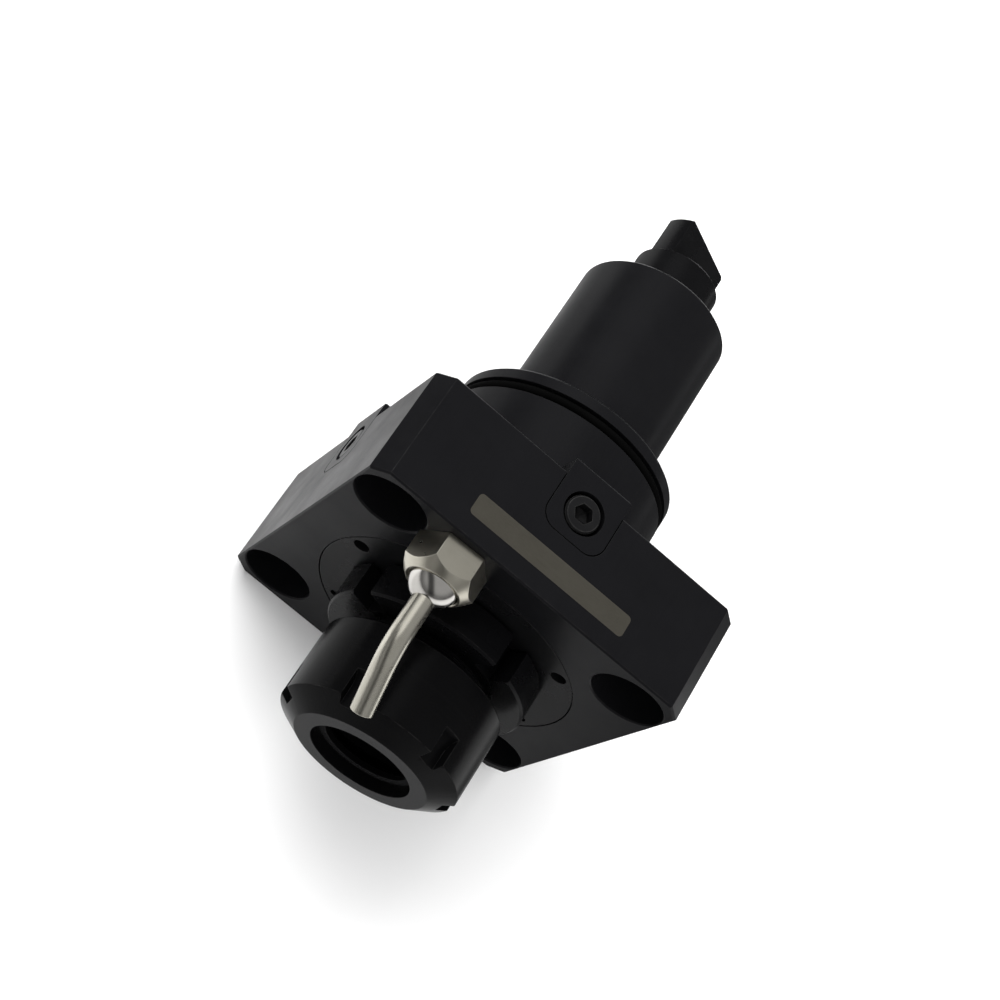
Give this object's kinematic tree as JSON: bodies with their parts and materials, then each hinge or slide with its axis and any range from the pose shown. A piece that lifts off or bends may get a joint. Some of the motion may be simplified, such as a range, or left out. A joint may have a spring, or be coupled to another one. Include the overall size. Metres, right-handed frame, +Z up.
{
  "type": "driven tool holder",
  "caption": "Straight driven tool holder: square flange with centring spigot, bearing tube, drive tang, slotted collet nut and swivel coolant nozzle.",
  "frame": {"origin": "centre of the spigot in the plane of the flange's mounting face", "axes": "+Y along the spindle axis towards the drive tang, +X along the flank that carries the upper key, +Z up out of that flank"},
  "size_m": [0.082, 0.1603, 0.0846],
  "materials": {
    "blackened_body": "blackened ground steel, satin",
    "blackened_cover": "blackened steel, turned",
    "blackened_spindle": "blackened steel, turned and ground",
    "blackened_nut": "blackened steel, turned",
    "blackened_key": "blackened ground steel",
    "screw_black": "black oxide",
    "seal_rubber": "matt black rubber",
    "bearing_steel": "polished bearing steel",
    "cage_brass": "machined brass",
    "ground_steel": "ground steel",
    "nickel_nut": "satin nickel",
    "nickel_nozzle": "satin nickel",
    "seal_ring_plastic": "white sealing plastic"
  },
  "bodies": {
    "holder": {"housing": "blackened_body", "front_cover": "blackened_cover", "cover_grub_screws": "screw_black", "front_seal": "seal_rubber", "front_bearing_outer_ring": "bearing_steel", "middle_bearing_outer_ring": "bearing_steel", "outer_spacer": "ground_steel", "rear_bearing_cup": "bearing_steel", "rear_shaft_seal": "seal_rubber", "rear_circlip": "ground_steel", "spigot_o_ring": "seal_rubber", "coolant_inlet_o_ring": "seal_rubber", "key_top": "blackened_key", "key_right": "blackened_key", "key_bottom": "blackened_key", "key_left": "blackened_key", "key_screws": "screw_black", "nozzle_seat": "nickel_nut", "nozzle_nut": "nickel_nut"},
    "spindle_shaft": {"spindle": "blackened_spindle", "front_bearing_inner_ring": "bearing_steel", "middle_bearing_inner_ring": "bearing_steel", "inner_spacer": "ground_steel", "lock_washer": "ground_steel", "bearing_lock_nut": "ground_steel"},
    "front_ball_set": {"front_bearing_balls": "bearing_steel", "front_bearing_cage": "cage_brass"},
    "middle_ball_set": {"middle_bearing_balls": "bearing_steel", "middle_bearing_cage": "cage_brass"},
    "needle_set": {"rear_bearing_needles": "bearing_steel", "rear_bearing_cage": "cage_brass"},
    "collet_puller": {"extraction_ring": "blackened_nut"},
    "collet_nut": {"clamp_nut": "blackened_nut"},
    "swivel_seat": {"nozzle_seal": "seal_ring_plastic"},
    "nozzle": {"nozzle_ball": "nickel_nozzle", "nozzle_tube": "nickel_nozzle"}
  },
  "joints": [
    {"name": "spindle_spin", "type": "hinge", "parent": "holder", "child": "spindle_shaft", "pos_m": [0, 0, 0], "axis": [0, 1, 0], "continuous": true},
    {"name": "front_balls_roll", "type": "hinge", "parent": "holder", "child": "front_ball_set", "pos_m": [0, -0.016, 0], "axis": [0, 1, 0], "continuous": true},
    {"name": "middle_balls_roll", "type": "hinge", "parent": "holder", "child": "middle_ball_set", "pos_m": [0, 0.001, 0], "axis": [0, 1, 0], "continuous": true},
    {"name": "needles_roll", "type": "hinge", "parent": "holder", "child": "needle_set", "pos_m": [0, 0.06, 0], "axis": [0, 1, 0], "continuous": true},
    {"name": "nut_travel", "type": "slide", "parent": "spindle_shaft", "child": "collet_puller", "axis": [0, 1, 0], "range_m": [-0.00905, 0.00155]},
    {"name": "nut_turn", "type": "hinge", "parent": "collet_puller", "child": "collet_nut", "pos_m": [0, -0.05, 0], "axis": [0, 1, 0], "range_deg": [-2160, 360]},
    {"name": "nozzle_turn", "type": "hinge", "parent": "holder", "child": "swivel_seat", "pos_m": [-0.0155, -0.0335, 0.0324], "axis": [0, 1, 0], "range_deg": [-120, 120]},
    {"name": "nozzle_tilt", "type": "hinge", "parent": "swivel_seat", "child": "nozzle", "pos_m": [-0.0155, -0.0335, 0.0324], "axis": [0.9021, 0, 0.4316], "range_deg": [-20, 4]}
  ],
  "couplings": [
    {"joint": "front_balls_roll", "follows": "spindle_spin", "ratio": 0.42857},
    {"joint": "middle_balls_roll", "follows": "spindle_spin", "ratio": 0.42857},
    {"joint": "needles_roll", "follows": "spindle_spin", "ratio": 0.45643},
    {"joint": "nut_travel", "follows": "nut_turn", "m_per_rad": 0.00023873}
  ]
}
